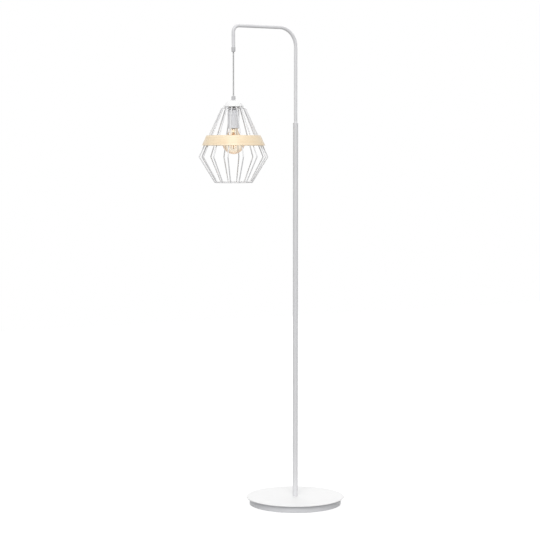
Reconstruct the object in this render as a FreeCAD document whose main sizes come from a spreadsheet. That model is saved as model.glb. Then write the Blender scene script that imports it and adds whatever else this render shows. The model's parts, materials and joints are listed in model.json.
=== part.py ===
import FreeCAD
import Part
import math
import os
import Sketcher

# Wire cage floor lamp, in millimetres.
# +Z is up. The origin is on the pole's axis, at the face that stands on the floor.
# The arm reaches towards -X, and the pendant hangs from its end.

Vector = FreeCAD.Vector
UP = Vector(0, 0, 1)

# Driving dimensions. Names that end in _top, _bottom, _level or _pivot are heights above the floor.
# A size in quotes follows from others. Angles are in degrees.
SIZES = [
    # Base
    ("pad_radius", 158),
    ("pad_top", 2),
    ("weight_radius", 158.5),
    ("weight_disc_top", 10),
    ("boss_radius", 30),
    ("well_radius", 17),
    ("well_top", 11.4),
    ("channel_start", 15),
    ("channel_half", 5),
    ("channel_top", 10.5),
    ("drum_radius", 163),
    ("drum_bottom", 1.2),
    ("drum_wall", 1.5),
    ("drum_top", 24.2),
    ("plate_radius", 175),
    ("plate_top", 28.2),
    ("rim_round", 2),
    ("rod_radius", 5),
    ("rod_bore", 3.6),
    ("rod_hole", 5.1),
    ("rod_bottom", 3),
    ("rod_top", 45),
    ("washer_radius", 15),
    ("washer_bottom", 9.4),
    ("nut_bottom", 3.4),
    ("nut_corner", 9.8),
    ("outlet_level", 8.6),
    ("outlet_radius", 5),
    ("grommet_bore", 3.5),
    ("grommet_flange", 6.6),
    ("grommet_outside", 2.2),
    ("grommet_neck", 1.8),
    ("grommet_inside", 4.2),
    # Pole
    ("pole_radius", 9),
    ("pole_bore", 7.8),
    ("foot_insert_top", 48.2),
    ("pole_seam_level", 695),
    ("joiner_half", 40),
    ("joiner_bore", 6),
    ("pole_top", 1360),
    ("collar_bottom", 1328),
    ("collar_edge", 1),
    ("collar_bore", 7),
    ("collar_tip_radius", 6.9),
    ("collar_lip_bore", 6.3),
    ("collar_lip", 1.9),
    ("collar_top", 1363.4),
    ("bush_bore", 6.05),
    # Arm
    ("arm_radius", 6),
    ("arm_bore", 5),
    ("arm_bottom", 1322),
    ("arm_level", 1694),
    ("arm_reach", 248),
    ("arm_bend", 65),
    ("drop_bend", 22),
    ("drop_end", 1612.8),
    ("keeper_bottom", 1322.5),
    ("keeper_top", 1326.5),
    ("keeper_radius", 7.4),
    # Cable and hanging cord
    ("cable_radius", 2.4),
    ("pole_cable_bottom", 6),
    ("pole_cable_top", 1321.3),
    ("arm_cable_end", 1609.1),
    ("cord_pivot", 1606.5),
    ("shade_pivot", 1447.6),
    # Cord grips
    ("grip_radius", 7),
    ("grip_edge", 0.6),
    ("grip_socket", 2.6),
    ("grip_throat", 2.9),
    ("grip_mouth", 4.9),
    ("end_nut_bottom", 1613.4),
    ("end_nut_top", 1619.4),
    ("arm_grip_spigot", 1618),
    ("arm_grip_taper_top", 1606.4),
    ("arm_grip_tip", 5.8),
    ("arm_grip_bottom", 1603.3),
    ("arm_screw_level", 1610.8),
    ("cap_grip_top", 1450.8),
    ("cap_grip_socket_end", 1444.9),
    ("cap_grip_thread_end", 1441),
    ("cap_screw_level", 1442.9),
    ("grip_screw_radius", 1.5),
    ("grip_screw_inner", 2.4),
    ("grip_screw_outer", 7.3),
    # Cap, nipple and cage
    ("cap_top", 1437),
    ("cap_sheet", 1),
    ("cap_crown", 38.5),
    ("cap_crown_inside", "=cap_crown - cap_sheet"),
    ("cap_rim_radius", 35),
    ("cap_rim_level", 1415.3),
    ("cap_centre_level", "=cap_rim_level - sqrt(cap_crown^2 - cap_rim_radius^2)"),
    ("cap_rim_inside", "=sqrt(cap_crown_inside^2 - (cap_rim_level - cap_centre_level)^2)"),
    ("cap_flat", "=sqrt(cap_crown^2 - (cap_top - cap_centre_level)^2)"),
    ("cap_seat_level", 1435.5),
    ("cap_seat", "=sqrt(cap_crown_inside^2 - (cap_seat_level - cap_centre_level)^2)"),
    ("nipple_bottom", 1398),
    ("thin_nut_height", 3),
    ("thin_nut_corner", 8.1),
    ("cap_nut_bottom", "=cap_seat_level - thin_nut_height"),
    ("hub_bottom", 1407.5),
    ("hub_top", 1409.5),
    ("hub_radius", 27),
    ("wire_count", 14),
    ("wire_first_angle", 233),
    ("wire_radius", 2),
    ("wire_start", 13),
    ("wire_top_level", 1411.5),
    ("wire_shoulder", 40.13),
    ("wire_shoulder_bend", 7),
    ("wire_waist", 119),
    ("wire_waist_level", 1242),
    ("wire_waist_bend", 5),
    ("ring_radius", 65),
    ("ring_level", 1154),
    # Wood band: a conical hoop that sits on the wires
    ("band_top", 1316),
    ("band_bottom", 1281),
    ("band_top_inside", 87.18),
    ("band_bottom_inside", 102.72),
    ("band_thickness", 7),
    ("band_chamfer", 0.8),
    # Lampholder
    ("holder_radius", 20.3),
    ("holder_bore", 18.3),
    ("holder_round", 5),
    ("dome_boss_radius", 9),
    ("dome_top", 1406),
    ("dome_inside_top", 1404),
    ("dome_bottom", 1384),
    ("sleeve_top", 1391),
    ("sleeve_seam", 1383.6),
    ("sleeve_shoulder", 1378),
    ("sleeve_neck", 1380),
    ("sleeve_neck_bore", 16.8),
    ("ring_seat", 1345),
    ("ring_lip", 20.9),
    ("ring_bore", 18.4),
    ("ring_bottom", 1340),
    ("ring_edge", 0.7),
    ("insert_radius", 16.6),
    ("insert_flange", 18.2),
    ("insert_flange_bottom", 1372),
    ("insert_flange_top", 1377.8),
    ("insert_top", 1392),
    ("insert_cavity", 14.4),
    ("insert_cavity_top", 1374),
    ("insert_bottom", 1350),
    ("shell_outside", 14.4),
    ("shell_inside", 13.6),
    ("shell_bottom", 1351),
    ("shell_top", 1370),
    ("contact_radius", 3.5),
    ("contact_bottom", 1370.1),
    ("contact_shelf", 1371.1),
    ("contact_post", 1.5),
    ("contact_top", 1384),
    ("terminal_radius", 3),
    ("terminal_height", 2.2),
    ("terminal_spacing", 18),
    ("lead_bottom", 1394.6),
    # Bulb
    ("bulb_bottom", 1251),
    ("glass_wall", 0.9),
    ("globe_round", 39.5),
    ("globe_level", "=bulb_bottom + globe_round"),
    ("globe_turn", 20),
    ("globe_edge", "=globe_round * cos(globe_turn)"),
    ("globe_edge_level", "=globe_level + globe_round * sin(globe_turn)"),
    ("globe_edge_inside", "=globe_edge - glass_wall * cos(globe_turn)"),
    ("globe_edge_inside_level", "=globe_edge_level - glass_wall * sin(globe_turn)"),
    ("shoulder_round", 15),
    ("shoulder_centre", "=globe_edge - shoulder_round * cos(globe_turn)"),
    ("shoulder_level", "=globe_edge_level - shoulder_round * sin(globe_turn)"),
    ("neck_radius", 14.2),
    ("neck_level", 1345),
    ("neck_top", 1347),
    ("neck_seat", 12.5),
    ("neck_seat_level", 1350),
    ("glass_top", 1356),
    ("neck_rise", "=neck_level - shoulder_level"),
    ("neck_inset", "=shoulder_centre - neck_radius"),
    ("throat_square", "=neck_inset^2 + neck_rise^2 - shoulder_round^2"),
    ("throat_round", "=throat_square / (2 * (shoulder_round + neck_inset))"),
    ("throat_turn", "=asin(neck_rise / (shoulder_round + throat_round))"),
    ("shoulder_edge", "=shoulder_centre + shoulder_round * cos(throat_turn)"),
    ("shoulder_edge_level", "=shoulder_level + shoulder_round * sin(throat_turn)"),
    ("shoulder_edge_inside", "=shoulder_edge - glass_wall * cos(throat_turn)"),
    ("shoulder_edge_inside_level", "=shoulder_edge_level - glass_wall * sin(throat_turn)"),
    ("stem_bottom", 1268),
    ("stem_rod", 1.8),
    ("stem_rod_top", 1314),
    ("stem_collar", 3.5),
    ("stem_collar_level", 1318),
    ("stem_waist", 4.5),
    ("stem_waist_level", 1340),
    ("stem_flare_level", 1354),
    ("filament_count", 6),
    ("filament_radius", 0.8),
    ("filament_top", 1324),
    ("filament_top_spread", 5.6),
    ("filament_length", 53),
    ("filament_tilt", 5),
    ("screw_radius", 13.1),
    ("screw_top", 1361.5),
    ("bulb_cap_top", 1363),
    ("bulb_cap_wall", 0.4),
    ("bulb_cap_inside", 11.7),
    ("bulb_cap_shoulder", 1357.5),
    ("insulator_base", 9),
    ("insulator_tip", 5),
    ("insulator_top", 1368),
    ("tip_radius", 4.7),
    ("tip_top", 1370),
]

document = FreeCAD.newDocument("floor_lamp")
sheet = document.addObject("Spreadsheet::Sheet", "Sizes")
for row, (alias, number) in enumerate(SIZES, start=1):
    sheet.set("A%d" % row, alias)
    sheet.set("B%d" % row, str(number))
    sheet.setAlias("B%d" % row, alias)
document.recompute()

sub_parts = []


# Sizes are written as sums of names, such as "pole_top + collar_edge".
def value(text):
    total = 0.0
    sign = 1
    for token in text.split():
        if token == "-":
            sign = -1
        elif token == "+":
            sign = 1
        else:
            total += sign * (0.0 if token == "0" else float(sheet.get(token)))
            sign = 1
    return total


def bound(text):
    words = [word if word in "+-0" else "Sizes." + word for word in text.split()]
    return " ".join(words)


def bind_coordinate(sketch, kind, geometry, end, text):
    if text == "0":
        axis = -2 if kind == "DistanceX" else -1
        sketch.addConstraint(Sketcher.Constraint("PointOnObject", geometry, end, axis))
        return
    amount = value(text)
    if amount > 0:
        index = sketch.addConstraint(Sketcher.Constraint(kind, -1, 1, geometry, end, amount))
        sketch.setExpression("Constraints[%d]" % index, bound(text))
    else:
        index = sketch.addConstraint(Sketcher.Constraint(kind, geometry, end, -1, 1, -amount))
        sketch.setExpression("Constraints[%d]" % index, "-(%s)" % bound(text))


def bind_point(sketch, geometry, end, across, up):
    bind_coordinate(sketch, "DistanceX", geometry, end, across)
    bind_coordinate(sketch, "DistanceY", geometry, end, up)


def bind_radius(sketch, geometry, text):
    index = sketch.addConstraint(Sketcher.Constraint("Radius", geometry, value(text)))
    sketch.setExpression("Constraints[%d]" % index, bound(text))


def arc_between(start, finish, radius, side):
    """The short arc from start to finish, its centre to the left (side 1) or the right (side -1)."""
    chord = finish - start
    left = Vector(-chord.y, chord.x, 0).normalize()
    rise = math.sqrt(radius ** 2 - (chord.Length / 2) ** 2)
    centre = start + chord * 0.5 + left * (rise * side)
    first, last = (start, finish) if side > 0 else (finish, start)
    angles = [math.atan2(point.y - centre.y, point.x - centre.x) for point in (first, last)]
    return Part.ArcOfCircle(Part.Circle(centre, UP, radius), angles[0], angles[1])


def draw_profile(sketch, points):
    """A closed outline. A point of four values starts an arc: across, up, radius, side."""
    corners = [Vector(value(point[0]), value(point[1]), 0) for point in points]
    ends = []
    for index, point in enumerate(points):
        start = corners[index]
        finish = corners[(index + 1) % len(points)]
        if len(point) == 4:
            edge = arc_between(start, finish, value(point[2]), point[3])
            geometry = sketch.addGeometry(edge, False)
            bind_radius(sketch, geometry, point[2])
            ends.append((geometry, 1, 2) if point[3] > 0 else (geometry, 2, 1))
        else:
            geometry = sketch.addGeometry(Part.LineSegment(start, finish), False)
            ends.append((geometry, 1, 2))
    for index, (geometry, start_end, finish_end) in enumerate(ends):
        following = ends[(index + 1) % len(ends)]
        joined = Sketcher.Constraint("Coincident", geometry, finish_end, following[0], following[1])
        sketch.addConstraint(joined)
        bind_point(sketch, geometry, start_end, points[index][0], points[index][1])


def draw_bent_path(sketch, corners, bends):
    """An open path of straight runs through the corners, with a tangent arc at each inner corner."""
    places = [Vector(value(across), value(up), 0) for across, up in corners]
    cuts = [(places[0], places[0])]
    for index, bend in enumerate(bends, start=1):
        back = (places[index - 1] - places[index]).normalize()
        ahead = (places[index + 1] - places[index]).normalize()
        half = back.getAngle(ahead) / 2
        run = value(bend) / math.tan(half)
        cuts.append((places[index] + back * run, places[index] + ahead * run))
    cuts.append((places[-1], places[-1]))
    lines = []
    for index in range(len(places) - 1):
        run = Part.LineSegment(cuts[index][1], cuts[index + 1][0])
        lines.append(sketch.addGeometry(run, False))
    bind_point(sketch, lines[0], 1, corners[0][0], corners[0][1])
    bind_point(sketch, lines[-1], 2, corners[-1][0], corners[-1][1])
    for index, bend in enumerate(bends, start=1):
        start, finish = cuts[index]
        back = start - places[index]
        turn = back.x * (finish - start).y - back.y * (finish - start).x
        arc = arc_between(start, finish, value(bend), 1 if turn < 0 else -1)
        geometry = sketch.addGeometry(arc, False)
        first = 1 if turn < 0 else 2
        for line, line_end, arc_end in ((lines[index - 1], 2, first), (lines[index], 1, 3 - first)):
            sketch.addConstraint(Sketcher.Constraint("Tangent", line, line_end, geometry, arc_end))
        bind_radius(sketch, geometry, bend)
        corner = sketch.addGeometry(Part.Point(places[index]), True)
        bind_point(sketch, corner, 1, corners[index][0], corners[index][1])
        for line in (lines[index - 1], lines[index]):
            sketch.addConstraint(Sketcher.Constraint("PointOnObject", corner, 1, line))
    return ["Edge%d" % number for number in range(1, len(lines) + len(bends) + 1)]


def draw_circle(sketch, across, up, radius):
    centre = Vector(value(across), value(up), 0)
    geometry = sketch.addGeometry(Part.Circle(centre, UP, value(radius)), False)
    bind_point(sketch, geometry, 3, across, up)
    bind_radius(sketch, geometry, radius)


def add_body(label):
    body = document.addObject("PartDesign::Body", label)
    body.Label = label
    sub_parts.append(body)
    return body


def add_sketch(body, role, offset=None):
    sketch = body.newObject("Sketcher::SketchObject", body.Name + "_sketch")
    plane = [feature for feature in body.Origin.OriginFeatures if feature.Role == role][0]
    sketch.AttachmentSupport = [(plane, "")]
    sketch.MapMode = "FlatFace"
    if offset:
        sketch.setExpression("AttachmentOffset.Base.z", bound(offset))
    return sketch


def seat_at_pendant(item):
    item.setExpression("Placement.Base.x", "-Sizes.arm_reach")


def seat_along_arm(item):
    item.Placement = FreeCAD.Placement(Vector(0, 0, 0), FreeCAD.Rotation(UP, 180))


def revolved(label, points):
    body = add_body(label)
    sketch = add_sketch(body, "XZ_Plane")
    draw_profile(sketch, points)
    turned = body.newObject("PartDesign::Revolution", label + "_turned")
    turned.Profile = sketch
    turned.ReferenceAxis = (sketch, ["V_Axis"])
    turned.Angle = 360
    body.Tip = turned
    return body


def tube(label, outer, inner, bottom, top):
    return revolved(label, [(inner, bottom), (outer, bottom), (outer, top), (inner, top)])


def disc(label, outer, bottom, top):
    return tube(label, outer, "0", bottom, top)


def cut_pocket(body, sketch, length):
    """Cuts the sketch's outline out of the body, along the sketch's normal."""
    document.recompute()
    before = body.Shape.Volume
    pocket = body.newObject("PartDesign::Pocket", body.Name + "_pocket")
    pocket.Profile = sketch
    pocket.Reversed = True
    pocket.setExpression("Length", bound(length))
    body.Tip = pocket
    document.recompute()
    if body.Shape.Volume >= before:
        raise ValueError(body.Label + ": the pocket cut nothing")


def drill_sideways(body, level, radius, reach):
    """A round hole through the wall on the +X side, as far from the axis as reach."""
    sketch = add_sketch(body, "YZ_Plane")
    draw_circle(sketch, "0", level, radius)
    cut_pocket(body, sketch, reach)


def bent_tube(label, corners, bends, outer, inner=None, plane="XY_Plane", offset=None, centre="0"):
    """A round bar, or a tube, along a bent path in the body's XZ plane."""
    body = add_body(label)
    path = add_sketch(body, "XZ_Plane")
    edges = draw_bent_path(path, corners, bends)
    section = add_sketch(body, plane, offset)
    draw_circle(section, "0", centre, outer)
    if inner:
        draw_circle(section, "0", centre, inner)
    pipe = body.newObject("PartDesign::AdditivePipe", label + "_pipe")
    pipe.Profile = section
    pipe.Spine = (path, edges)
    body.Tip = pipe
    return body


def hex_nut(label, corner, hole, bottom, height):
    prism = document.addObject("Part::Prism", label + "_hexagon")
    prism.Polygon = 6
    prism.setExpression("Circumradius", bound(corner))
    prism.setExpression("Height", bound(height))
    prism.setExpression("Placement.Base.z", bound(bottom))
    bore = document.addObject("Part::Cylinder", label + "_bore")
    bore.setExpression("Radius", bound(hole))
    bore.setExpression("Height", bound(height))
    bore.setExpression("Placement.Base.z", bound(bottom))
    nut = document.addObject("Part::Cut", label)
    nut.Base = prism
    nut.Tool = bore
    nut.Label = label
    return nut


def grouped(label, members):
    group = document.addObject("Part::Compound", label)
    group.Label = label
    group.Links = members
    sub_parts.append(group)
    return group


# Base: a foam pad, an iron weight inside a sheet drum, and a wide plate on top.
def make_base():
    disc("foot_pad", "pad_radius", "0", "pad_top")
    weight = revolved("base_weight", [
        ("well_radius", "pad_top"),
        ("weight_radius", "pad_top"),
        ("weight_radius", "weight_disc_top"),
        ("boss_radius", "weight_disc_top"),
        ("boss_radius", "drum_top - drum_wall"),
        ("rod_hole", "drum_top - drum_wall"),
        ("rod_hole", "well_top"),
        ("well_radius", "well_top"),
    ])
    channel = add_sketch(weight, "XY_Plane")
    draw_profile(channel, [
        ("channel_start", "- channel_half"),
        ("drum_radius", "- channel_half"),
        ("drum_radius", "channel_half"),
        ("channel_start", "channel_half"),
    ])
    cut_pocket(weight, channel, "channel_top")
    drum = revolved("base_drum", [
        ("rod_hole", "drum_top - drum_wall"),
        ("drum_radius - drum_wall", "drum_top - drum_wall"),
        ("drum_radius - drum_wall", "drum_bottom"),
        ("drum_radius", "drum_bottom"),
        ("drum_radius", "drum_top"),
        ("rod_hole", "drum_top"),
    ])
    drill_sideways(drum, "outlet_level", "outlet_radius", "plate_radius")
    revolved("base_plate", [
        ("rod_hole", "drum_top"),
        ("plate_radius - rim_round", "drum_top", "rim_round", 1),
        ("plate_radius", "drum_top + rim_round", "rim_round", 1),
        ("plate_radius - rim_round", "plate_top"),
        ("rod_hole", "plate_top"),
    ])
    tube("base_rod", "rod_radius", "rod_bore", "rod_bottom", "rod_top")
    tube("base_washer", "washer_radius", "rod_radius", "washer_bottom", "well_top")
    nut_height = "washer_bottom - nut_bottom"
    sub_parts.append(hex_nut("base_nut", "nut_corner", "rod_radius", "nut_bottom", nut_height))
    grommet = revolved("cable_grommet", [
        ("grommet_bore", "- grommet_inside"),
        ("grommet_flange", "- grommet_inside"),
        ("grommet_flange", "- grommet_neck"),
        ("outlet_radius", "- grommet_neck"),
        ("outlet_radius", "0"),
        ("grommet_flange", "0"),
        ("grommet_flange", "grommet_outside"),
        ("grommet_bore", "grommet_outside"),
    ])
    grommet.Placement = FreeCAD.Placement(Vector(0, 0, 0), FreeCAD.Rotation(Vector(0, 1, 0), 90))
    grommet.setExpression("Placement.Base.x", "Sizes.drum_radius")
    grommet.setExpression("Placement.Base.z", "Sizes.outlet_level")


# Pole: two tubes on an inner joiner, with a tapered collar and a nylon bush that hold the arm.
def make_pole():
    tube("pole_foot_insert", "pole_bore", "rod_radius", "plate_top", "foot_insert_top")
    tube("pole_lower", "pole_radius", "pole_bore", "plate_top", "pole_seam_level")
    tube("pole_joiner", "pole_bore", "joiner_bore",
         "pole_seam_level - joiner_half", "pole_seam_level + joiner_half")
    tube("pole_upper", "pole_radius", "pole_bore", "pole_seam_level", "pole_top")
    revolved("pole_collar", [
        ("collar_bore", "collar_bottom"),
        ("pole_bore", "collar_bottom"),
        ("pole_bore", "pole_top"),
        ("pole_radius", "pole_top"),
        ("pole_radius", "pole_top + collar_edge"),
        ("collar_tip_radius", "collar_top"),
        ("collar_lip_bore", "collar_top"),
        ("collar_lip_bore", "collar_top - collar_lip"),
        ("collar_bore", "collar_top - collar_lip"),
    ])
    tube("swivel_bush", "collar_bore", "bush_bore", "collar_bottom", "collar_top - collar_lip")
    disc("supply_cable_pole", "cable_radius", "pole_cable_bottom", "pole_cable_top")


# Arm: one bent tube that turns in the pole's bush, with the cable inside and a cord grip at its end.
def make_arm():
    arm = bent_tube(
        "arm_tube",
        [("0", "arm_bottom"), ("0", "arm_level"), ("arm_reach", "arm_level"), ("arm_reach", "drop_end")],
        ["arm_bend", "drop_bend"], "arm_radius", "arm_bore", offset="arm_bottom")
    seat_along_arm(arm)
    cable = bent_tube(
        "supply_cable_arm",
        [("0", "arm_bottom"), ("0", "arm_level"), ("arm_reach", "arm_level"), ("arm_reach", "arm_cable_end")],
        ["arm_bend", "drop_bend"], "cable_radius", offset="arm_bottom")
    seat_along_arm(cable)
    tube("arm_keeper_ring", "keeper_radius", "arm_radius", "keeper_bottom", "keeper_top")
    seat_at_pendant(revolved("arm_end_nut", [
        ("arm_radius", "end_nut_bottom"),
        ("grip_radius", "end_nut_bottom"),
        ("grip_radius", "end_nut_top - grip_edge"),
        ("grip_radius - grip_edge", "end_nut_top"),
        ("arm_radius", "end_nut_top"),
    ]))
    grip = revolved("arm_cord_grip", [
        ("grip_mouth", "arm_grip_bottom"),
        ("arm_grip_tip", "arm_grip_bottom"),
        ("grip_radius", "arm_grip_taper_top"),
        ("grip_radius", "drop_end"),
        ("arm_bore", "drop_end"),
        ("arm_bore", "arm_grip_spigot"),
        ("cable_radius", "arm_grip_spigot"),
        ("cable_radius", "arm_cable_end"),
        ("grip_socket", "arm_cable_end"),
        ("grip_socket", "cord_pivot"),
        ("grip_throat", "cord_pivot"),
    ])
    drill_sideways(grip, "arm_screw_level", "grip_screw_radius", "grip_screw_outer")
    seat_at_pendant(grip)
    grip_screw("arm_grip_screw", "arm_screw_level")


def grip_screw(label, level):
    screw = document.addObject("Part::Cylinder", label)
    screw.Label = label
    screw.setExpression("Radius", bound("grip_screw_radius"))
    screw.setExpression("Height", bound("grip_screw_outer - grip_screw_inner"))
    screw.Placement = FreeCAD.Placement(Vector(0, 0, 0), FreeCAD.Rotation(Vector(0, 1, 0), 90))
    screw.setExpression("Placement.Base.x", bound("grip_screw_inner - arm_reach"))
    screw.setExpression("Placement.Base.z", bound(level))
    sub_parts.append(screw)


# The hanging cord: one straight run between its two pivots, with rounded ends.
def make_cord():
    seat_at_pendant(revolved("pendant_cord", [
        ("0", "shade_pivot - cable_radius", "cable_radius", 1),
        ("cable_radius", "shade_pivot"),
        ("cable_radius", "cord_pivot", "cable_radius", 1),
        ("0", "cord_pivot + cable_radius"),
    ]))


# Cap and suspension: a grip on a hollow nipple that carries the cap, the cage hub and the lampholder.
def make_suspension():
    grip = revolved("cap_cord_grip", [
        ("rod_radius", "cap_top"),
        ("grip_radius", "cap_top"),
        ("grip_radius", "cap_grip_top - grip_edge"),
        ("grip_radius - grip_edge", "cap_grip_top"),
        ("grip_mouth", "cap_grip_top"),
        ("grip_throat", "shade_pivot"),
        ("grip_socket", "shade_pivot"),
        ("grip_socket", "cap_grip_socket_end"),
        ("cable_radius", "cap_grip_socket_end"),
        ("cable_radius", "cap_grip_thread_end"),
        ("rod_radius", "cap_grip_thread_end"),
    ])
    drill_sideways(grip, "cap_screw_level", "grip_screw_radius", "grip_screw_outer")
    seat_at_pendant(grip)
    grip_screw("cap_grip_screw", "cap_screw_level")
    seat_at_pendant(tube("shade_nipple", "rod_radius", "rod_bore", "nipple_bottom", "cap_grip_thread_end"))
    seat_at_pendant(revolved("canopy_cap", [
        ("rod_hole", "cap_seat_level"),
        ("cap_seat", "cap_seat_level", "cap_crown_inside", -1),
        ("cap_rim_inside", "cap_rim_level"),
        ("cap_rim_radius", "cap_rim_level", "cap_crown", 1),
        ("cap_flat", "cap_top"),
        ("rod_hole", "cap_top"),
    ]))
    levels = ["cap_nut_bottom", "hub_top", "dome_inside_top - thin_nut_height"]
    nuts = []
    for number, level in enumerate(levels, start=1):
        nuts.append(hex_nut("nipple_nut_%d" % number, "thin_nut_corner", "rod_radius",
                            level, "thin_nut_height"))
    seat_at_pendant(grouped("nipple_nuts", nuts))
    seat_at_pendant(disc("lampholder_lead", "cable_radius", "lead_bottom", "cap_grip_socket_end"))


# Cage: wires welded to a top hub and a bottom ring, with the wood band around them.
def make_cage():
    seat_at_pendant(tube("cage_hub", "hub_radius", "rod_hole", "hub_bottom", "hub_top"))
    count = int(value("wire_count"))
    for number in range(count):
        wire = bent_tube(
            "cage_wire_%02d" % (number + 1),
            [("wire_start", "wire_top_level"), ("wire_shoulder", "wire_top_level"),
             ("wire_waist", "wire_waist_level"), ("ring_radius", "ring_level")],
            ["wire_shoulder_bend", "wire_waist_bend"], "wire_radius",
            plane="YZ_Plane", offset="wire_start", centre="wire_top_level")
        cope = add_sketch(wire, "XZ_Plane")
        draw_circle(cope, "ring_radius", "ring_level", "wire_radius")
        groove = wire.newObject("PartDesign::Groove", wire.Name + "_coped")
        groove.Profile = cope
        groove.ReferenceAxis = (cope, ["V_Axis"])
        groove.Angle = 360
        wire.Tip = groove
        angle = value("wire_first_angle") + number * 360.0 / count
        wire.Placement = FreeCAD.Placement(Vector(0, 0, 0), FreeCAD.Rotation(UP, angle))
        seat_at_pendant(wire)
    ring = document.addObject("Part::Torus", "cage_bottom_ring")
    ring.Label = "cage_bottom_ring"
    ring.setExpression("Radius1", "Sizes.ring_radius")
    ring.setExpression("Radius2", "Sizes.wire_radius")
    ring.setExpression("Placement.Base.z", "Sizes.ring_level")
    seat_at_pendant(ring)
    sub_parts.append(ring)
    seat_at_pendant(revolved("wood_band", [
        ("band_bottom_inside + band_chamfer", "band_bottom"),
        ("band_bottom_inside + band_thickness - band_chamfer", "band_bottom"),
        ("band_bottom_inside + band_thickness", "band_bottom + band_chamfer"),
        ("band_top_inside + band_thickness", "band_top - band_chamfer"),
        ("band_top_inside + band_thickness - band_chamfer", "band_top"),
        ("band_top_inside + band_chamfer", "band_top"),
        ("band_top_inside", "band_top - band_chamfer"),
        ("band_bottom_inside", "band_bottom + band_chamfer"),
    ]))


# Lampholder: a domed cover, a sleeve and a lip ring around a ceramic insert with its brass contacts.
def make_lampholder():
    seat_at_pendant(revolved("lampholder_dome", [
        ("rod_radius", "dome_inside_top"),
        ("holder_bore - holder_round", "dome_inside_top"),
        ("holder_bore", "dome_inside_top - holder_round"),
        ("holder_bore", "dome_bottom"),
        ("holder_radius", "dome_bottom"),
        ("holder_radius", "dome_top - holder_round", "holder_round", 1),
        ("holder_radius - holder_round", "dome_top"),
        ("dome_boss_radius", "dome_top"),
        ("dome_boss_radius", "hub_bottom"),
        ("rod_radius", "hub_bottom"),
    ]))
    seat_at_pendant(revolved("lampholder_sleeve", [
        ("holder_bore", "ring_seat"),
        ("holder_radius", "ring_seat"),
        ("holder_radius", "sleeve_seam"),
        ("holder_bore", "sleeve_seam"),
        ("holder_bore", "sleeve_top"),
        ("sleeve_neck_bore", "sleeve_top"),
        ("sleeve_neck_bore", "sleeve_neck"),
        ("holder_bore", "sleeve_shoulder"),
    ]))
    seat_at_pendant(revolved("lampholder_ring", [
        ("ring_bore", "ring_bottom"),
        ("ring_lip - ring_edge", "ring_bottom"),
        ("ring_lip", "ring_bottom + ring_edge"),
        ("ring_lip", "ring_seat - ring_edge"),
        ("ring_lip - ring_edge", "ring_seat"),
        ("ring_bore", "ring_seat"),
    ]))
    seat_at_pendant(revolved("lampholder_insert", [
        ("insert_cavity", "insert_bottom"),
        ("insert_radius", "insert_bottom"),
        ("insert_radius", "insert_flange_bottom"),
        ("insert_flange", "insert_flange_bottom"),
        ("insert_flange", "insert_flange_top"),
        ("insert_radius", "insert_flange_top"),
        ("insert_radius", "insert_top"),
        ("contact_post", "insert_top"),
        ("contact_post", "insert_cavity_top"),
        ("insert_cavity", "insert_cavity_top"),
    ]))
    seat_at_pendant(tube("screw_shell", "shell_outside", "shell_inside", "shell_bottom", "shell_top"))
    seat_at_pendant(revolved("centre_contact", [
        ("0", "contact_bottom"),
        ("contact_radius", "contact_bottom"),
        ("contact_radius", "contact_shelf"),
        ("contact_post", "contact_shelf"),
        ("contact_post", "contact_top"),
        ("0", "contact_top"),
    ]))
    heads = []
    for number, side in ((1, ""), (2, "-")):
        head = document.addObject("Part::Cylinder", "terminal_%d" % number)
        head.setExpression("Radius", "Sizes.terminal_radius")
        head.setExpression("Height", "Sizes.terminal_height")
        head.setExpression("Placement.Base.x", side + "Sizes.terminal_spacing / 2")
        head.setExpression("Placement.Base.z", "Sizes.insert_top")
        heads.append(head)
    seat_at_pendant(grouped("terminal_screws", heads))


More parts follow.
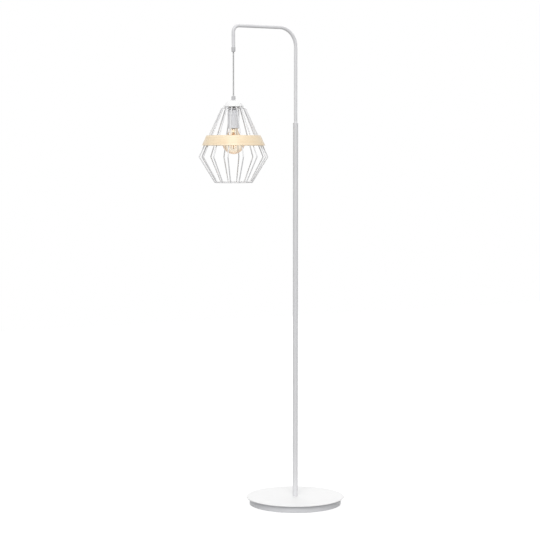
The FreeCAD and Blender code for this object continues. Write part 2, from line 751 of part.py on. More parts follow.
# Bulb: amber globe on a screw cap, with straight filaments around a glass stem.
def make_bulb():
    seat_at_pendant(revolved("bulb_glass", [
        ("0", "bulb_bottom", "globe_round", 1),
        ("globe_edge", "globe_edge_level", "shoulder_round", 1),
        ("shoulder_edge", "shoulder_edge_level", "throat_round", -1),
        ("neck_radius", "neck_level"),
        ("neck_radius", "neck_top"),
        ("neck_seat", "neck_seat_level"),
        ("neck_seat", "glass_top"),
        ("neck_seat - glass_wall", "glass_top"),
        ("neck_seat - glass_wall", "neck_seat_level"),
        ("neck_radius - glass_wall", "neck_top"),
        ("neck_radius - glass_wall", "neck_level", "throat_round + glass_wall", 1),
        ("shoulder_edge_inside", "shoulder_edge_inside_level", "shoulder_round - glass_wall", -1),
        ("globe_edge_inside", "globe_edge_inside_level", "globe_round - glass_wall", -1),
        ("0", "bulb_bottom + glass_wall"),
    ]))
    seat_at_pendant(revolved("bulb_stem", [
        ("0", "stem_bottom"),
        ("stem_rod", "stem_bottom"),
        ("stem_rod", "stem_rod_top"),
        ("stem_collar", "stem_collar_level"),
        ("stem_waist", "stem_waist_level"),
        ("neck_seat - glass_wall", "stem_flare_level"),
        ("neck_seat - glass_wall", "glass_top"),
        ("0", "glass_top"),
    ]))
    sticks = []
    tilt = math.radians(value("filament_tilt"))
    for number in range(int(value("filament_count"))):
        stick = document.addObject("Part::Cylinder", "filament_%d" % (number + 1))
        stick.setExpression("Radius", "Sizes.filament_radius")
        stick.setExpression("Height", "Sizes.filament_length")
        around = number * 360.0 / value("filament_count")
        lean = FreeCAD.Rotation(Vector(0, 1, 0), 180 - math.degrees(tilt))
        spread = Vector(value("filament_top_spread"), 0, value("filament_top"))
        turn = FreeCAD.Placement(Vector(0, 0, 0), FreeCAD.Rotation(UP, around))
        stick.Placement = turn.multiply(FreeCAD.Placement(spread, lean))
        sticks.append(stick)
    seat_at_pendant(grouped("bulb_filaments", sticks))
    seat_at_pendant(revolved("bulb_cap", [
        ("neck_seat", "neck_seat_level"),
        ("screw_radius", "neck_seat_level"),
        ("screw_radius", "screw_top"),
        ("insulator_base", "bulb_cap_top"),
        ("insulator_base - bulb_cap_wall", "bulb_cap_top - bulb_cap_wall"),
        ("bulb_cap_inside", "bulb_cap_shoulder"),
        ("bulb_cap_inside", "glass_top"),
        ("neck_seat", "glass_top"),
    ]))
    seat_at_pendant(revolved("bulb_insulator", [
        ("0", "bulb_cap_top"),
        ("insulator_base", "bulb_cap_top"),
        ("insulator_tip", "insulator_top"),
        ("0", "insulator_top"),
    ]))
    seat_at_pendant(disc("bulb_contact", "tip_radius", "insulator_top", "tip_top"))


make_base()
make_pole()
make_arm()
make_cord()
make_suspension()
make_cage()
make_lampholder()
make_bulb()
document.recompute()

for item in document.Objects:
    if "Invalid" in item.State or "Error" in item.State:
        raise ValueError("%s (%s) failed: %s" % (item.Name, item.Label, item.State))
for item in sub_parts:
    if item.Shape.isNull() or not item.Shape.isValid():
        raise ValueError(item.Label + " has no valid shape")

os.makedirs("parts", exist_ok=True)
for item in sub_parts:
    item.Shape.exportStep("parts/%s.step" % item.Label)
print(len(sub_parts), "sub-parts")
print("free cord, straight:", value("cord_pivot - shade_pivot"), "mm")
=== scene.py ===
"""Looks of the wire cage floor lamp: camera, light, materials and finer pieces, in metres."""

import json
import math

import bmesh
import bpy
from mathutils import Matrix, Vector


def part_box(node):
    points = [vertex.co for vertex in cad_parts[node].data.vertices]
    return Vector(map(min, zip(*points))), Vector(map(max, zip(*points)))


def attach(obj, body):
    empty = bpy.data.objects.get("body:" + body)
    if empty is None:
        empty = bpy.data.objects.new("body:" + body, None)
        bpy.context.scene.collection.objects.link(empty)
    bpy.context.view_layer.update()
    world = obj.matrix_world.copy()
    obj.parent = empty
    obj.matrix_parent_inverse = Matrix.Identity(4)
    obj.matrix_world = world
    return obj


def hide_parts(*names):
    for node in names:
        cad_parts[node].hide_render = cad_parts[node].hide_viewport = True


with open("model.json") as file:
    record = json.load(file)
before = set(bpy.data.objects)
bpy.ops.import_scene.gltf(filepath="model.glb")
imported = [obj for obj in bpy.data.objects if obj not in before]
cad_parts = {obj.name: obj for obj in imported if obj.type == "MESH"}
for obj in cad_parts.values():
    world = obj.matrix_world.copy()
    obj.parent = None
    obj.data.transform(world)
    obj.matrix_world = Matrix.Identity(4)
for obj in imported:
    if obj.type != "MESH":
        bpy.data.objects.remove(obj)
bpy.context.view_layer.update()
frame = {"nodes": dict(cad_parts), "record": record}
nodes = frame["nodes"]

MM = 0.001

# Camera: level with the cage's waist, swung this far round from the lamp's front
VIEW_HEADING = math.radians(-30)
VIEW_DISTANCE = 5.806
VIEW_HEIGHT = 1.2425
VIEW_PITCH = math.radians(3.961)
VIEW_TURN = math.radians(0.892)
VIEW_LENS = 109.1

# Light. The key comes from the camera's side, the fill from behind the lamp.
SKY_LEVEL = 0.45
KEY_STRENGTH = 1.75
KEY_ELEVATION = math.radians(36)
KEY_TURN = math.radians(-1)
TOP_STRENGTH = 0.25
FILL_STRENGTH = 0.50
FILL_ELEVATION = math.radians(50)
SOFTNESS = math.radians(40)
FLOOR_COLOUR = 0.40
FLOOR_GLOW = 0.80
FLOOR_HALF = 6.0

# Hanging cord, with the heights of its two ends
CORD_RADIUS = 2.4 * MM
CORD_PIVOTS = (1606.5 * MM, 1447.6 * MM)
BRAID_PITCH = 5.0 * MM
BRAID_THREADS = 8

# Wood band: the inner faces where the chamfers begin, and the seam where its ends butt
BAND_INSIDE_HIGH = 87.18 * MM
BAND_INSIDE_LOW = 102.72 * MM
BAND_WALL = 7 * MM
BAND_CHAMFER = 0.8 * MM
BAND_ROUND = 0.9 * MM
BAND_STEPS = 160
BAND_SEAM = math.radians(75)
BAND_SEAM_GAP = 0.25 * MM
BAND_SEAM_EASE = 0.5 * MM
BAND_END_SIZE = 0.97
BAND_FLAT_RADIUS = 100 * MM

# Cage wires and their weld beads. A bead's half sizes go along the radius, across it and upwards.
WIRE_COUNT = 14
WIRE_FIRST = math.radians(233)
WIRE_RADIUS = 2 * MM
RING_BEAD = (2.6 * MM, 3.2 * MM, 2.2 * MM)
RING_BEAD_RISE = 0.6 * MM
HUB_BEAD = (2.2 * MM, 2.6 * MM, 1.6 * MM)

# Threads. Rows are the points in one turn's outline, and sides are the steps round the axis.
NIPPLE_DEPTH = 0.5 * MM
NIPPLE_PITCH = 1.0 * MM
NIPPLE_BORE = 3.6 * MM
GRUB_DEPTH = 0.25 * MM
GRUB_PITCH = 0.5 * MM
GRUB_EDGE = 0.2 * MM
GRUB_POINT = 0.45 * MM
GRUB_SLOT_HALF = 0.25 * MM
GRUB_SLOT_DEPTH = 0.9 * MM
FINE_ROWS = 6
FINE_SIDES = 24

# Bulb glass, with the steps in each of its arcs and round its axis
GLASS_WALL = 0.9 * MM
GLOBE_ROUND = 39.5 * MM
GLOBE_TURN = math.radians(20)
SHOULDER_ROUND = 15 * MM
NECK_RADIUS = 14.2 * MM
NECK_LEVEL = 1345 * MM
NECK_TOP = 1347 * MM
SEAT_RADIUS = 12.5 * MM
SEAT_BOTTOM = 1350 * MM
GLOBE_STEPS = 44
SHOULDER_STEPS = 8
THROAT_STEPS = 16
GLOBE_SIDES = 128

# Bulb cap, stem and filaments. Pairs are (radius, height) in millimetres.
SCREW_RADIUS = 13.1 * MM
SCREW_DEPTH = 0.7 * MM
SCREW_PITCH = 3.62 * MM
SCREW_TOP = 1361.5 * MM
SCREW_ROWS = 16
SCREW_SIDES = 64
SHELL_LEVEL = 1356 * MM
SHELL_INSIDE = [(9, 1363), (8.6, 1362.6), (11.7, 1357.5), (11.7, 1356)]
STEM = [(0, 1268), (1.2, 1268.4), (1.8, 1269.6), (1.8, 1312), (2.6, 1316), (3.7, 1318.6), (3.2, 1321),
        (3.6, 1330), (4.6, 1340), (7.2, 1348), (11.5, 1354.4), (11.6, 1356), (0, 1356)]
STEM_SIDES = 48
FILAMENT_COUNT = 6
FILAMENT_RADIUS = 0.8 * MM
FILAMENT_LENGTH = 53 * MM
FILAMENT_HEAD = (5.6, 1324)
FILAMENT_TILT = math.radians(5)
LEAD_RADIUS = 0.3 * MM
LEAD_UPPER = [(2.4, 1317), (3.5, 1326.5)]
LEAD_LOWER = (1.2, 1269)
LEAD_BEND = (-2, -3.2)
LEAD_OUTSIDE = 1.5 * MM
LEAD_INSIDE = 1.0 * MM


def middle(node):
    low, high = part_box(node)
    return (low + high) / 2


# The pendant's own axis, as a point on the floor
PENDANT = Vector((middle("canopy_cap").x, 0, 0))


# ---------------------------------------------------------------- shader helpers


def add(tree, kind, inputs=None, **settings):
    """A new shader node. inputs are numbers, colours or the outputs of other nodes."""
    made = tree.nodes.new(kind)
    for name, setting in settings.items():
        setattr(made, name, setting)
    for key, source in (inputs or {}).items():
        if isinstance(source, bpy.types.NodeSocket):
            tree.links.new(source, made.inputs[key])
        else:
            made.inputs[key].default_value = source
    return made


def maths(tree, operation, first, second=0.0):
    return add(tree, "ShaderNodeMath", {0: first, 1: second}, operation=operation).outputs[0]


def stretched(tree, vector, scale):
    """The vector with each of its parts times that part of scale."""
    return add(tree, "ShaderNodeVectorMath", {0: vector, 1: scale}, operation="MULTIPLY").outputs[0]


def place(tree, scale=(1, 1, 1), centre=(0, 0, 0)):
    """The point on the surface from centre, in metres, times scale."""
    where = add(tree, "ShaderNodeTexCoord").outputs["Object"]
    offset = add(tree, "ShaderNodeVectorMath", {0: where, 1: tuple(centre)}, operation="SUBTRACT")
    return stretched(tree, offset.outputs[0], scale)


def noise(tree, vector, scale, detail=3.0, roughness=0.5):
    made = add(tree, "ShaderNodeTexNoise",
               {"Vector": vector, "Scale": scale, "Detail": detail, "Roughness": roughness})
    return made.outputs["Fac"]


def ramp(tree, factor, stops):
    """A colour ramp. Each stop is (position, colour)."""
    made = add(tree, "ShaderNodeValToRGB", {"Fac": factor})
    elements = made.color_ramp.elements
    for spare in list(elements)[1:]:
        elements.remove(spare)
    for index, (position, colour) in enumerate(stops):
        element = elements[0] if index == 0 else elements.new(position)
        element.position = position
        element.color = (*colour, 1)
    return made.outputs["Color"]


def spread(tree, factor, low, high):
    """The factor, from 0 to 1, stretched to run from low to high."""
    made = add(tree, "ShaderNodeMapRange", {"Value": factor, "To Min": low, "To Max": high})
    return made.outputs["Result"]


def bump(tree, shader, height, depth, strength):
    """Raises the shader's surface by height, from 0 to 1, times depth in metres."""
    made = add(tree, "ShaderNodeBump", {"Height": height, "Distance": depth, "Strength": strength})
    tree.links.new(made.outputs["Normal"], shader.inputs["Normal"])


def dimmed(colour, amount):
    return tuple(channel * amount for channel in colour)


def seen_directly(tree):
    """1 for rays from the camera, from gloss and through glass, else 0."""
    path = tree.nodes.new("ShaderNodeLightPath")
    total = path.outputs["Is Camera Ray"]
    for ray in ("Is Glossy Ray", "Is Transmission Ray"):
        total = maths(tree, "MAXIMUM", total, path.outputs[ray])
    return total


# ---------------------------------------------------------------- camera and light


def make_camera():
    lens = bpy.data.cameras.new("camera")
    lens.lens = VIEW_LENS
    camera = bpy.data.objects.new("camera", lens)
    bpy.context.scene.collection.objects.link(camera)
    camera.location = (
        VIEW_DISTANCE * math.sin(VIEW_HEADING),
        -VIEW_DISTANCE * math.cos(VIEW_HEADING),
        VIEW_HEIGHT,
    )
    camera.rotation_euler = (math.pi / 2 - VIEW_PITCH, 0, VIEW_HEADING + VIEW_TURN)
    bpy.context.scene.camera = camera


def make_world():
    """A soft white sky. It shows plain white to the camera and lights the lamp at its own level."""
    bpy.context.scene.view_settings.view_transform = "Standard"
    world = bpy.data.worlds.new("studio")
    bpy.context.scene.world = world
    world.use_nodes = True
    tree = world.node_tree
    back = tree.nodes["Background"]
    back.inputs["Color"].default_value = (1, 1, 1, 1)
    tree.links.new(spread(tree, seen_directly(tree), SKY_LEVEL, 1.0), back.inputs["Strength"])


def make_light(name, strength, elevation, heading):
    """A wide soft light that shines along the heading, from that elevation."""
    sun = bpy.data.lights.new(name, "SUN")
    sun.energy = strength
    sun.angle = SOFTNESS
    light = bpy.data.objects.new(name, sun)
    bpy.context.scene.collection.objects.link(light)
    light.rotation_euler = (math.pi / 2 - elevation, 0, heading)


def make_floor():
    """A pale floor that shows white to the camera and keeps the lamp's shadow."""
    surface, tree, shader = principled("floor", (FLOOR_COLOUR, FLOOR_COLOUR, FLOOR_COLOUR), 1.0,
                                       Specular_IOR_Level=0.0, Emission_Color=(1, 1, 1, 1))
    glow = maths(tree, "MULTIPLY", seen_directly(tree), FLOOR_GLOW)
    tree.links.new(glow, shader.inputs["Emission Strength"])
    corners = [(FLOOR_HALF * x, FLOOR_HALF * y, 0) for x, y in ((-1, -1), (1, -1), (1, 1), (-1, 1))]
    mesh = bpy.data.meshes.new("floor")
    mesh.from_pydata(corners, [], [(0, 1, 2, 3)])
    mesh.materials.append(surface)
    floor = bpy.data.objects.new("floor", mesh)
    bpy.context.scene.collection.objects.link(floor)


# ---------------------------------------------------------------- materials


def principled(name, colour, roughness, **values):
    """A material with its constants set on the shader. Returns the material, its tree and its shader."""
    material = bpy.data.materials.new(name)
    material.use_nodes = True
    shader = material.node_tree.nodes["Principled BSDF"]
    shader.inputs["Base Color"].default_value = (*colour, 1)
    shader.inputs["Roughness"].default_value = roughness
    for key, value in values.items():
        shader.inputs[key.replace("_", " ")].default_value = value
    return material, material.node_tree, shader


def powder_coat(name, colour, roughness=0.42, peel=0.05 * MM):
    """Satin stove enamel: a faint orange peel, and sheen and tone that drift a little."""
    material, tree, shader = principled(name, colour, roughness, Specular_IOR_Level=0.3)
    where = place(tree)
    tone = ramp(tree, noise(tree, where, 14, 2), [(0.3, dimmed(colour, 0.975)), (0.7, colour)])
    sheen = spread(tree, noise(tree, where, 60), roughness - 0.06, roughness + 0.06)
    tree.links.new(tone, shader.inputs["Base Color"])
    tree.links.new(sheen, shader.inputs["Roughness"])
    bump(tree, shader, noise(tree, where, 900, 2), peel, 0.35)
    return material


def plain_metal(name, colour, roughness):
    """Turned or plated metal with fine lines and small differences in sheen."""
    material, tree, shader = principled(name, colour, roughness, Metallic=1.0)
    lines = noise(tree, place(tree, (1, 1, 40)), 90, 3)
    tone = ramp(tree, noise(tree, place(tree), 220), [(0.3, dimmed(colour, 0.86)), (0.75, colour)])
    tree.links.new(tone, shader.inputs["Base Color"])
    tree.links.new(spread(tree, lines, roughness - 0.08, roughness + 0.12), shader.inputs["Roughness"])
    bump(tree, shader, lines, 0.02 * MM, 0.4)
    return material


def moulded(name, colour, roughness):
    """Plastic, ceramic or rubber with a fine moulded skin."""
    material, tree, shader = principled(name, colour, roughness)
    where = place(tree)
    tone = ramp(tree, noise(tree, where, 130), [(0.3, dimmed(colour, 0.93)), (0.7, colour)])
    sheen = spread(tree, noise(tree, where, 300), roughness - 0.05, roughness + 0.08)
    tree.links.new(tone, shader.inputs["Base Color"])
    tree.links.new(sheen, shader.inputs["Roughness"])
    bump(tree, shader, noise(tree, where, 1600, 2), 0.02 * MM, 0.5)
    return material


def cast_iron(name):
    """Rough grey casting."""
    material, tree, shader = principled(name, (0.20, 0.20, 0.21), 0.7)
    where = place(tree)
    tone = ramp(tree, noise(tree, where, 70, 5), [(0.3, (0.13, 0.13, 0.135)), (0.7, (0.24, 0.235, 0.23))])
    tree.links.new(tone, shader.inputs["Base Color"])
    bump(tree, shader, noise(tree, where, 420, 5), 0.3 * MM, 0.8)
    return material


def foam(name):
    """Black foam with open cells."""
    material, tree, shader = principled(name, (0.05, 0.05, 0.05), 0.95)
    cells = add(tree, "ShaderNodeTexVoronoi", {"Vector": place(tree), "Scale": 900.0})
    bump(tree, shader, cells.outputs["Distance"], 0.2 * MM, 0.8)
    return material


def band_place(tree):
    """Along the hoop, across it and through it, in metres, on the strip laid flat."""
    turn = {"Vector": place(tree, centre=PENDANT), "Axis": (0, 0, 1), "Angle": math.pi - BAND_SEAM}
    from_seam = add(tree, "ShaderNodeVectorRotate", turn, rotation_type="AXIS_ANGLE").outputs[0]
    parts = add(tree, "ShaderNodeSeparateXYZ", {0: from_seam}).outputs
    along = maths(tree, "MULTIPLY", maths(tree, "ARCTAN2", parts["Y"], parts["X"]), BAND_FLAT_RADIUS)
    flat = add(tree, "ShaderNodeCombineXYZ", {"X": parts["X"], "Y": parts["Y"]}).outputs[0]
    out = add(tree, "ShaderNodeVectorMath", {0: flat}, operation="LENGTH").outputs["Value"]
    return add(tree, "ShaderNodeCombineXYZ", {"X": along, "Y": parts["Z"], "Z": out}).outputs[0]


def ash_wood(name):
    """Pale bent ash: long grain round the hoop, open pores and a clear matt lacquer."""
    material, tree, shader = principled(name, (0.90, 0.70, 0.44), 0.48, Coat_Weight=0.45, Coat_Roughness=0.28)
    strip = band_place(tree)
    grain = noise(tree, stretched(tree, strip, (5, 190, 60)), 1.0, 5, 0.6)
    tone = ramp(tree, grain, [(0.28, (0.87, 0.65, 0.42)), (0.42, (0.95, 0.77, 0.53)),
                              (0.58, (0.98, 0.82, 0.59)), (0.75, (0.99, 0.87, 0.66))])
    pores = noise(tree, stretched(tree, strip, (70, 2600, 900)), 1.0, 2)
    pore_tone = ramp(tree, pores, [(0.34, (0.80, 0.70, 0.58)), (0.42, (1, 1, 1))])
    mixed = add(tree, "ShaderNodeMixRGB", {"Fac": 0.55, "Color1": tone, "Color2": pore_tone},
                blend_type="MULTIPLY")
    tree.links.new(mixed.outputs["Color"], shader.inputs["Base Color"])
    tree.links.new(spread(tree, grain, 0.40, 0.58), shader.inputs["Roughness"])
    bump(tree, shader, pores, 0.06 * MM, 0.5)
    return material


def glass(name, colour, rim):
    """Glass with a faint ripple, deeper in colour where its wall is seen edge on."""
    material, tree, shader = principled(name, colour, 0.0, Transmission_Weight=1.0, IOR=1.47)
    facing = add(tree, "ShaderNodeLayerWeight", {"Blend": 0.5}).outputs["Facing"]
    tree.links.new(ramp(tree, facing, [(0.2, colour), (0.65, rim)]), shader.inputs["Base Color"])
    bump(tree, shader, noise(tree, place(tree), 35, 2), 0.15 * MM, 0.15)
    return material


def phosphor(name):
    """The grainy amber coating of a filament."""
    material, tree, shader = principled(name, (0.93, 0.46, 0.10), 0.5)
    tone = ramp(tree, noise(tree, place(tree), 900), [(0.3, (0.80, 0.34, 0.05)), (0.7, (0.95, 0.52, 0.13))])
    tree.links.new(tone, shader.inputs["Base Color"])
    bump(tree, shader, noise(tree, place(tree), 2500), 0.05 * MM, 0.6)
    return material


def textile(name):
    """A round braid: two sets of threads that climb round the cord in opposite ways."""
    material, tree, shader = principled(name, (0.80, 0.80, 0.80), 0.85,
                                        Sheen_Weight=0.25, Sheen_Roughness=0.5)
    parts = add(tree, "ShaderNodeSeparateXYZ", {0: place(tree, centre=PENDANT)}).outputs
    angle = maths(tree, "ARCTAN2", parts["Y"], parts["X"])
    climb = maths(tree, "MULTIPLY", parts["Z"], BRAID_THREADS * 2 * math.pi / BRAID_PITCH)
    turns = maths(tree, "MULTIPLY", angle, float(BRAID_THREADS))
    strands = [maths(tree, "SINE", maths(tree, way, climb, turns)) for way in ("ADD", "SUBTRACT")]
    raised = spread(tree, maths(tree, "MAXIMUM", *strands), 0.0, 1.0)
    # Painted shade: the grooves between the threads are coloured darker than the threads' tops
    tone = ramp(tree, raised, [(0.0, (0.38, 0.38, 0.38)), (0.5, (0.68, 0.68, 0.68))])
    tree.links.new(tone, shader.inputs["Base Color"])
    bump(tree, shader, raised, 0.25 * MM, 0.8)
    return material


# Each finish: the function that makes it, and its settings
MATERIALS = {
    "foam_pad": (foam,),
    "cast_iron": (cast_iron,),
    # Painted shade: the drum is the plate's white enamel, set darker for its upright wall under the plate
    "white_drum": (powder_coat, (0.74, 0.745, 0.765)),
    "white_plate": (powder_coat, (0.93, 0.93, 0.93), 0.40),
    "zinc_steel": (plain_metal, (0.62, 0.62, 0.60), 0.34),
    "rubber_black": (moulded, (0.03, 0.03, 0.03), 0.75),
    # Painted shade: the pole is the same white enamel, set darker for its upright faces
    "white_pole": (powder_coat, (0.73, 0.73, 0.745), 0.36),
    "nylon": (moulded, (0.88, 0.88, 0.86), 0.5),
    "cable_sheath": (moulded, (0.85, 0.85, 0.85), 0.5),
    # Painted shade: the arm is the same white enamel, set darker than the plate and the cap
    "white_arm": (powder_coat, (0.785, 0.785, 0.80), 0.36),
    "white_grip": (powder_coat, (0.62, 0.62, 0.63), 0.34),
    "cord_textile": (textile,),
    "white_cap": (powder_coat, (0.96, 0.96, 0.96), 0.40),
    "white_wire": (powder_coat, (0.86, 0.86, 0.87), 0.40, 0.02 * MM),
    "ash_wood": (ash_wood,),
    "grey_holder": (powder_coat, (0.865, 0.87, 0.90), 0.33),
    "ceramic_insert": (moulded, (0.86, 0.84, 0.80), 0.22),
    "brass": (plain_metal, (0.78, 0.58, 0.28), 0.28),
    "amber_glass": (glass, (0.98, 0.93, 0.84), (0.68, 0.49, 0.33)),
    "clear_glass": (glass, (0.94, 0.68, 0.38), (0.85, 0.50, 0.24)),
    "filament_phosphor": (phosphor,),
    "nickel_cap": (plain_metal, (0.74, 0.73, 0.70), 0.22),
    "black_glass": (moulded, (0.02, 0.02, 0.025), 0.12),
    "solder_tip": (plain_metal, (0.60, 0.60, 0.60), 0.45),
}
finishes = {name: make(name, *settings) for name, (make, *settings) in MATERIALS.items()}


def finish_cad_nodes():
    """Gives every CAD node the finish that its record names."""
    for part in frame["record"]["subparts"]:
        for slot in nodes[part["node"]].material_slots:
            slot.material = finishes[part["material_slot"]]


# ---------------------------------------------------------------- shapes


def piece(name, data, slot, body, *replaced):
    """Adds the finer piece: its finish, the body that it rides on and the CAD nodes that it stands for."""
    data.materials.append(finishes[slot])
    made = bpy.data.objects.new(name, data)
    bpy.context.scene.collection.objects.link(made)
    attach(made, body)
    if replaced:
        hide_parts(*replaced)
    return made


def in_metres(points):
    return [tuple(number * MM for number in point) for point in points]


def mesh_from(name, points, faces, sharp=35):
    """A smooth mesh that keeps an edge sharp where its faces turn by more than that many degrees."""
    mesh = bpy.data.meshes.new(name)
    mesh.from_pydata(points, [], faces)
    mesh.validate()
    built = bmesh.new()
    built.from_mesh(mesh)
    bmesh.ops.remove_doubles(built, verts=built.verts, dist=1e-7)
    bmesh.ops.recalc_face_normals(built, faces=built.faces)
    built.to_mesh(mesh)
    built.free()
    mesh.shade_smooth()
    mesh.set_sharp_from_angle(angle=math.radians(sharp))
    return mesh


def turned(name, outline_at, centre, steps, sharp=35):
    """A ring about the vertical through centre. outline_at(angle) is its closed outline there."""
    points, faces = [], []
    for step in range(steps):
        angle = 2 * math.pi * step / steps
        outline = outline_at(angle)
        for radius, height in outline:
            points.append((centre.x + radius * math.cos(angle), centre.y + radius * math.sin(angle), height))
    count = len(outline)
    for step in range(steps):
        ahead = (step + 1) % steps
        for index in range(count):
            after = (index + 1) % count
            faces.append((step * count + index, ahead * count + index,
                          ahead * count + after, step * count + after))
    return mesh_from(name, points, faces, sharp)


def lathe(name, outline, centre, steps, sharp):
    """The closed outline of (radius, height) points turned about the vertical through centre."""
    return turned(name, lambda angle: outline, centre, steps, sharp)


def thread(radius, depth, pitch, bottom, top, rows):
    """The outer line of a screw thread at each angle, with that many points a turn."""
    count = round((top - bottom) / pitch * rows)
    levels = [bottom + (top - bottom) * index / count for index in range(count + 1)]

    def line(angle):
        phases = (2 * math.pi * level / pitch - angle for level in levels)
        dips = (depth * (0.5 - 0.5 * math.cos(phase)) for phase in phases)
        return [(radius - dip, level) for dip, level in zip(dips, levels)]

    return line


def arc(centre, radius, first, last, steps):
    """Points of (radius, height) on the arc round centre, from the first to the last angle."""
    angles = (first + (last - first) * step / steps for step in range(steps + 1))
    return [(centre[0] + radius * math.cos(a), centre[1] + radius * math.sin(a)) for a in angles]


def rounded(corners, radius, steps=4):
    """The closed outline with its corners rounded off."""
    outline = []
    for index, corner in enumerate(corners):
        here = Vector(corner)
        back = (Vector(corners[index - 1]) - here).normalized()
        ahead = (Vector(corners[(index + 1) % len(corners)]) - here).normalized()
        start, finish = here + back * radius, here + ahead * radius
        for step in range(steps + 1):
            t = step / steps
            outline.append(tuple(start * (1 - t) ** 2 + here * 2 * t * (1 - t) + finish * t ** 2))
    return outline


def tubes(name, routes, radius):
    """A curve object whose splines run through the routes' points, as round wires."""
    curve = bpy.data.curves.new(name, "CURVE")
    curve.dimensions = "3D"
    curve.bevel_depth = radius
    curve.bevel_resolution = 3
    curve.use_fill_caps = True
    curve.resolution_u = 8
    for route in routes:
        spline = curve.splines.new("NURBS")
        spline.points.add(len(route) - 1)
        for point, where in zip(spline.points, route):
            point.co = (*where, 1)
        spline.order_u = 3
        spline.use_endpoint_u = True
    return curve


def box_mesh(low, high):
    corners = [(x, y, z) for x in (low[0], high[0]) for y in (low[1], high[1]) for z in (low[2], high[2])]
    sides = [(0, 1, 3, 2), (4, 6, 7, 5), (0, 4, 5, 1), (2, 3, 7, 6), (0, 2, 6, 4), (1, 5, 7, 3)]
    return mesh_from("box", corners, sides)


def cut(name, data, tool):
    """The mesh data with the mesh tool cut out of it."""
    block, cutter = (bpy.data.objects.new(name, mesh) for mesh in (data, tool))
    for made in (block, cutter):
        bpy.context.scene.collection.objects.link(made)
    change = block.modifiers.new("cut", "BOOLEAN")
    change.operation = "DIFFERENCE"
    change.object = cutter
    change.solver = "EXACT"
    shaped = bpy.data.meshes.new_from_object(block.evaluated_get(bpy.context.evaluated_depsgraph_get()))
    shaped.name = name
    for made in (block, cutter):
        bpy.data.objects.remove(made)
    shaped.materials.clear()
    shaped.shade_smooth()
    shaped.set_sharp_from_angle(angle=math.radians(35))
    return shaped


# ---------------------------------------------------------------- pieces


def make_cord():
    """The hanging cord. Its straight run is part.py's, from pivot to pivot."""
    top, bottom = (Vector((PENDANT.x, 0, level)) for level in CORD_PIVOTS)
    curve = tubes("pendant_cord_braid", [[top, top.lerp(bottom, 0.5), bottom]], CORD_RADIUS)
    cord = piece("pendant_cord_braid", curve, "cord_textile", "cord", "pendant_cord")


def band_outline():
    """The strip's cross-section, with rounded corners."""
    low, high = (corner.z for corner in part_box("wood_band"))
    lean = (BAND_INSIDE_LOW - BAND_INSIDE_HIGH) / (high - low - 2 * BAND_CHAMFER)
    inside_high = BAND_INSIDE_HIGH - lean * BAND_CHAMFER
    inside_low = BAND_INSIDE_LOW + lean * BAND_CHAMFER
    return rounded([(inside_high, high), (inside_high + BAND_WALL, high),
                    (inside_low + BAND_WALL, low), (inside_low, low)], BAND_ROUND)


def make_band():
    """The bent hoop: a strip with rounded edges whose ends butt at a fine seam."""
    outline = band_outline()
    centre = sum((Vector(point) for point in outline), Vector((0, 0))) / len(outline)
    gap = BAND_SEAM_GAP / centre.x
    ease = BAND_SEAM_EASE / centre.x
    stations = [gap / 2 + (2 * math.pi - gap) * step / BAND_STEPS for step in range(BAND_STEPS + 1)]
    stations[1:1] = [stations[0] + ease]
    stations[-1:-1] = [stations[-1] - ease]
    points, faces = [], []
    for index, station in enumerate(stations):
        size = BAND_END_SIZE if index in (0, len(stations) - 1) else 1.0
        angle = BAND_SEAM + station
        for corner in outline:
            radius, height = centre + (Vector(corner) - centre) * size
            points.append((PENDANT.x + radius * math.cos(angle), radius * math.sin(angle), height))
    count = len(outline)
    for ring in range(len(stations) - 1):
        for index in range(count):
            after = (index + 1) % count
            faces.append((ring * count + index, ring * count + after,
                          (ring + 1) * count + after, (ring + 1) * count + index))
    faces.append(tuple(range(count)))
    faces.append(tuple((len(stations) - 1) * count + index for index in reversed(range(count))))
    piece("wood_band_hoop", mesh_from("wood_band_hoop", points, faces), "ash_wood", "shade", "wood_band")


def make_nipple():
    """The threaded rod through the cap, the hub and the holder's dome, with a plain bore for the lead."""
    low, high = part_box("shade_nipple")
    screw = thread(high.x - PENDANT.x, NIPPLE_DEPTH, NIPPLE_PITCH, low.z, high.z, FINE_ROWS)
    bore = [(NIPPLE_BORE, high.z), (NIPPLE_BORE, low.z)]
    rod = turned("shade_nipple_thread", lambda angle: screw(angle) + bore, PENDANT, FINE_SIDES, sharp=60)
    piece("shade_nipple_thread", rod, "zinc_steel", "shade", "shade_nipple")


def make_grub_screw(node, body):
    """A nylon grub screw with a slot across its outer end."""
    low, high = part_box(node)
    radius = (high.z - low.z) / 2
    length = high.x - low.x
    point = radius - GRUB_POINT
    screw = thread(radius, GRUB_DEPTH, GRUB_PITCH, GRUB_EDGE, length - GRUB_EDGE, FINE_ROWS)
    ends = [(point, length), (0, length), (0, 0), (point, 0)]
    shank = turned(node, lambda angle: screw(angle) + ends, Vector((0, 0, 0)), FINE_SIDES, sharp=60)
    slot = box_mesh((-radius, -GRUB_SLOT_HALF, length - GRUB_SLOT_DEPTH),
                    (radius, GRUB_SLOT_HALF, length + GRUB_EDGE))
    made = cut(node + "_slotted", shank, slot)
    seat = Matrix.Translation(Vector((low.x, 0, (low.z + high.z) / 2)))
    made.transform(seat @ Matrix.Rotation(math.pi / 2, 4, "Y"))
    piece(node + "_slotted", made, "nylon", body, node)


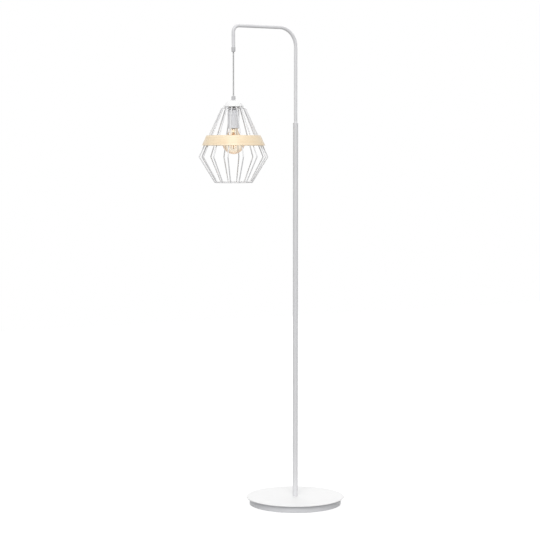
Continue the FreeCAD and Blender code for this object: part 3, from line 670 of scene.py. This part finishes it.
def make_weld_beads():
    """A small bead where each wire meets the bottom ring and where it leaves the hub."""
    ring_low, ring_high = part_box("cage_bottom_ring")
    hub_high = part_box("cage_hub")[1]
    ring = (ring_high.x - PENDANT.x - WIRE_RADIUS, (ring_low.z + ring_high.z) / 2 + RING_BEAD_RISE)
    hub = (hub_high.x - PENDANT.x - WIRE_RADIUS, hub_high.z + WIRE_RADIUS / 2)
    built = bmesh.new()
    for number in range(WIRE_COUNT):
        turn = Matrix.Rotation(WIRE_FIRST + 2 * math.pi * number / WIRE_COUNT, 4, "Z")
        for (radius, level), size in ((ring, RING_BEAD), (hub, HUB_BEAD)):
            spot = Matrix.Translation(PENDANT) @ turn @ Matrix.Translation(Vector((radius, 0, level)))
            shape = Matrix.Diagonal((*size, 1))
            bmesh.ops.create_uvsphere(built, u_segments=20, v_segments=12, radius=1, matrix=spot @ shape)
    beads = bpy.data.meshes.new("cage_weld_beads")
    built.to_mesh(beads)
    built.free()
    beads.shade_smooth()
    piece("cage_weld_beads", beads, "white_wire", "shade")


def bulb_skin(inset):
    """The glass's outline that far inside its outer face: globe, shoulder, throat, neck and seat."""
    low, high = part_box("bulb_glass")
    globe = Vector((0, low.z + GLOBE_ROUND))
    shoulder = globe + (GLOBE_ROUND - SHOULDER_ROUND) * Vector((math.cos(GLOBE_TURN), math.sin(GLOBE_TURN)))
    rise = NECK_LEVEL - shoulder.y
    lean = shoulder.x - NECK_RADIUS
    throat_round = (lean ** 2 + rise ** 2 - SHOULDER_ROUND ** 2) / (2 * (SHOULDER_ROUND + lean))
    throat = (NECK_RADIUS + throat_round, NECK_LEVEL)
    turn = math.asin(rise / (SHOULDER_ROUND + throat_round))
    seat = SEAT_RADIUS - inset
    return (
        arc(globe, GLOBE_ROUND - inset, -math.pi / 2, GLOBE_TURN, GLOBE_STEPS)
        + arc(shoulder, SHOULDER_ROUND - inset, GLOBE_TURN, turn, SHOULDER_STEPS)[1:]
        + arc(throat, throat_round + inset, math.pi + turn, math.pi, THROAT_STEPS)[1:]
        + [(NECK_RADIUS - inset, NECK_TOP), (seat, SEAT_BOTTOM), (seat, high.z)]
    )


def make_globe():
    """The bulb's glass, in two smooth skins."""
    outline = bulb_skin(0) + bulb_skin(GLASS_WALL)[::-1]
    globe = lathe("bulb_globe", outline, PENDANT, GLOBE_SIDES, sharp=60)
    piece("bulb_globe", globe, "amber_glass", "bulb", "bulb_glass")


def make_screw_cap():
    """The bulb's screw cap, a thin shell with a rolled thread."""
    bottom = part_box("bulb_cap")[0].z
    screw = thread(SCREW_RADIUS, SCREW_DEPTH, SCREW_PITCH, bottom, SCREW_TOP, SCREW_ROWS)
    inside = in_metres(SHELL_INSIDE) + [(SEAT_RADIUS, SHELL_LEVEL), (SEAT_RADIUS, bottom)]
    shell = turned("bulb_screw_cap", lambda angle: screw(angle) + inside, PENDANT, SCREW_SIDES)
    piece("bulb_screw_cap", shell, "nickel_cap", "bulb", "bulb_cap")


def make_stem():
    """The glass stem that flares out to the neck."""
    stem = lathe("bulb_stem_glass", in_metres(STEM), PENDANT, STEM_SIDES, sharp=50)
    piece("bulb_stem_glass", stem, "clear_glass", "bulb", "bulb_stem")


def make_filaments():
    """Leaning filaments round the stem, and the lead wires at both their ends."""

    def spot(radius, height):
        return Vector((radius * MM, 0, height * MM))

    lean = Vector((math.sin(FILAMENT_TILT), 0, -math.cos(FILAMENT_TILT)))
    head = spot(*FILAMENT_HEAD)
    foot = head + lean * FILAMENT_LENGTH
    rod = [head, head.lerp(foot, 0.5), foot]
    upper = [*(spot(*point) for point in LEAD_UPPER),
             head - lean * LEAD_OUTSIDE, head + lean * LEAD_INSIDE]
    lower = [foot - lean * LEAD_INSIDE, foot + lean * LEAD_OUTSIDE,
             foot + spot(*LEAD_BEND), spot(*LEAD_LOWER)]
    rods, wires = [], []
    for number in range(FILAMENT_COUNT):
        around = Matrix.Rotation(2 * math.pi * number / FILAMENT_COUNT, 3, "Z")
        for lines, line in ((rods, rod), (wires, upper), (wires, lower)):
            lines.append([around @ point + PENDANT for point in line])
    piece("bulb_filament_rods", tubes("bulb_filament_rods", rods, FILAMENT_RADIUS),
          "filament_phosphor", "bulb", "bulb_filaments")
    piece("bulb_filament_wires", tubes("bulb_filament_wires", wires, LEAD_RADIUS), "nickel_cap", "bulb")


make_camera()
make_world()
make_light("key", KEY_STRENGTH, KEY_ELEVATION, VIEW_HEADING + KEY_TURN)
make_light("top", TOP_STRENGTH, math.pi / 2, 0)
make_light("fill", FILL_STRENGTH, FILL_ELEVATION, VIEW_HEADING + math.pi)
make_floor()
finish_cad_nodes()
make_cord()
make_band()
make_nipple()
make_grub_screw("arm_grip_screw", "arm")
make_grub_screw("cap_grip_screw", "shade")
make_weld_beads()
make_globe()
make_screw_cap()
make_stem()
make_filaments()
